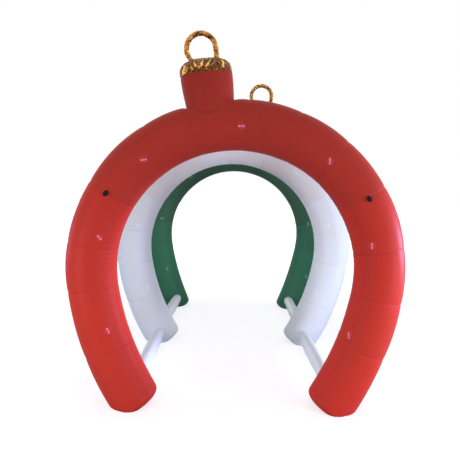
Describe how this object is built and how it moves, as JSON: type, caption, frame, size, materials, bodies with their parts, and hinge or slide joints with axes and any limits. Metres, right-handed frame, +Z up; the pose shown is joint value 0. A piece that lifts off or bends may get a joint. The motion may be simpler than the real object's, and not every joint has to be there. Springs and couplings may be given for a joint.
{
  "type": "inflatable ornament tunnel arch",
  "caption": "Walk-through inflatable arch of ring-shaped cloth tubes in a row, in red, white and green, with ornament necks, gold caps and hanging loops, joined at the feet by thin struts.",
  "frame": {"origin": "on the floor under the middle of the whole", "axes": "+Z up, +X to the right across the way through, +Y along the way through, from the front arch to the back arch"},
  "size_m": [2.4652, 3.3331, 2.6627],
  "materials": {
    "red_cloth": "thin satin polyester, slightly see-through",
    "white_cloth": "thin satin polyester, slightly see-through",
    "green_cloth": "thin satin polyester, slightly see-through",
    "strut_cloth": "thin satin polyester",
    "gold_cloth": "crumpled metallic gold lame",
    "black_webbing": "woven webbing"
  },
  "bodies": {
    "root": {"red_panel_01": "red_cloth", "red_panel_02": "red_cloth", "red_panel_03": "red_cloth", "red_panel_04": "red_cloth", "red_panel_05": "red_cloth", "red_panel_06": "red_cloth", "red_panel_07": "red_cloth", "red_panel_08": "red_cloth", "red_panel_09": "red_cloth", "red_panel_10": "red_cloth", "red_panel_11": "red_cloth", "red_panel_12": "red_cloth", "red_panel_13": "red_cloth", "red_panel_14": "red_cloth", "red_neck": "red_cloth", "red_cap": "gold_cloth", "red_loop": "gold_cloth", "white_panel_01": "white_cloth", "white_panel_02": "white_cloth", "white_panel_03": "white_cloth", "white_panel_04": "white_cloth", "white_panel_05": "white_cloth", "white_panel_06": "white_cloth", "white_panel_07": "white_cloth", "white_panel_08": "white_cloth", "white_panel_09": "white_cloth", "white_panel_10": "white_cloth", "white_panel_11": "white_cloth", "white_panel_12": "white_cloth", "white_panel_13": "white_cloth", "white_panel_14": "white_cloth", "white_neck": "white_cloth", "white_cap": "gold_cloth", "white_loop": "gold_cloth", "green_panel_01": "green_cloth", "green_panel_02": "green_cloth", "green_panel_03": "green_cloth", "green_panel_04": "green_cloth", "green_panel_05": "green_cloth", "green_panel_06": "green_cloth", "green_panel_07": "green_cloth", "green_panel_08": "green_cloth", "green_panel_09": "green_cloth", "green_panel_10": "green_cloth", "green_panel_11": "green_cloth", "green_panel_12": "green_cloth", "green_panel_13": "green_cloth", "green_panel_14": "green_cloth", "green_neck": "green_cloth", "green_cap": "gold_cloth", "green_loop": "gold_cloth", "strut_front_left": "strut_cloth", "strut_front_right": "strut_cloth", "strut_back_left": "strut_cloth", "strut_back_right": "strut_cloth", "tether_tab_left": "black_webbing", "tether_tab_right": "black_webbing"}
  },
  "joints": []
}
